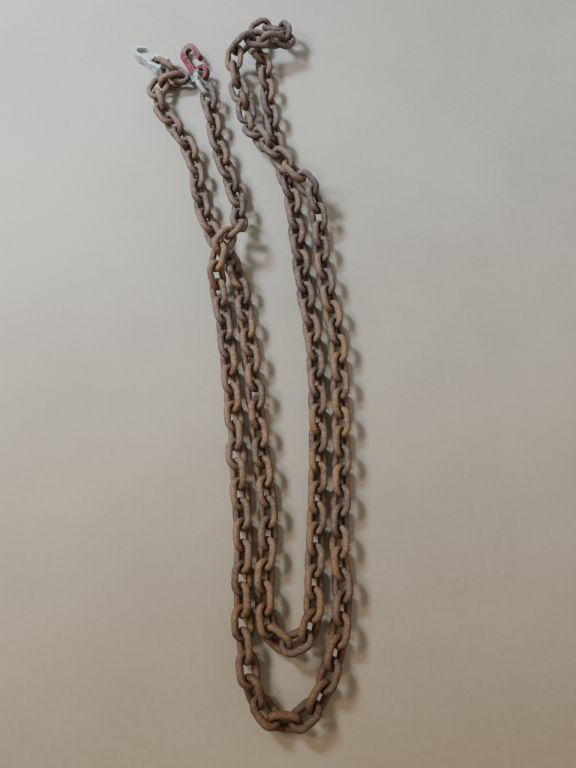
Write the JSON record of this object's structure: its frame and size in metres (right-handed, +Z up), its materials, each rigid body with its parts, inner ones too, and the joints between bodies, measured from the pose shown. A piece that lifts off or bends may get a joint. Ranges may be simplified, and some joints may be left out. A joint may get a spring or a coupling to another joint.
{
  "type": "towing chain",
  "caption": "Rusty welded steel chain doubled into long side-by-side strands on the floor, with a clevis slip hook at one end and a coupled eye grab hook at the other, for towing or lashing.",
  "frame": {"origin": "centre of the laid-out chain's box, on the floor it lies on", "axes": "+Y runs along the strands towards the hook ends, +X to the right across them, +Z up"},
  "size_m": [0.486, 1.4812, 0.0915],
  "materials": {
    "rusty_steel": "matte rusted",
    "galvanised_steel": "dull galvanised",
    "worn_red_paint": "worn satin paint"
  },
  "bodies": {
    "root": {"cotter_pin": "galvanised_steel", "coupler_bushing": "galvanised_steel", "coupler_half_lower": "galvanised_steel", "coupler_half_upper": "galvanised_steel", "coupler_pin": "galvanised_steel", "grab_hook": "worn_red_paint", "links_001_004": "rusty_steel", "links_005_008": "rusty_steel", "links_009_012": "rusty_steel", "links_013_016": "rusty_steel", "links_017_020": "rusty_steel", "links_021_024": "rusty_steel", "links_025_028": "rusty_steel", "links_029_032": "rusty_steel", "links_033_036": "rusty_steel", "links_037_040": "rusty_steel", "links_041_044": "rusty_steel", "links_045_048": "rusty_steel", "links_049_052": "rusty_steel", "links_053_056": "rusty_steel", "links_057_060": "rusty_steel", "links_061_064": "rusty_steel", "links_065_068": "rusty_steel", "links_069_072": "rusty_steel", "links_073_076": "rusty_steel", "links_077_080": "rusty_steel", "links_081_084": "rusty_steel", "links_085_088": "rusty_steel", "links_089_092": "rusty_steel", "links_093_096": "rusty_steel", "links_097_100": "rusty_steel", "links_101_104": "rusty_steel", "links_105_108": "rusty_steel", "links_109_112": "rusty_steel", "links_113_116": "rusty_steel", "links_117_120": "rusty_steel", "links_121_124": "rusty_steel", "links_125_128": "rusty_steel", "links_129_132": "rusty_steel", "links_133_136": "rusty_steel", "links_137_140": "rusty_steel", "links_141_144": "rusty_steel", "links_145_148": "rusty_steel", "links_149_152": "rusty_steel", "links_153_156": "rusty_steel", "links_157_158": "rusty_steel", "slip_hook": "galvanised_steel", "slip_hook_pin": "galvanised_steel"}
  },
  "joints": []
}
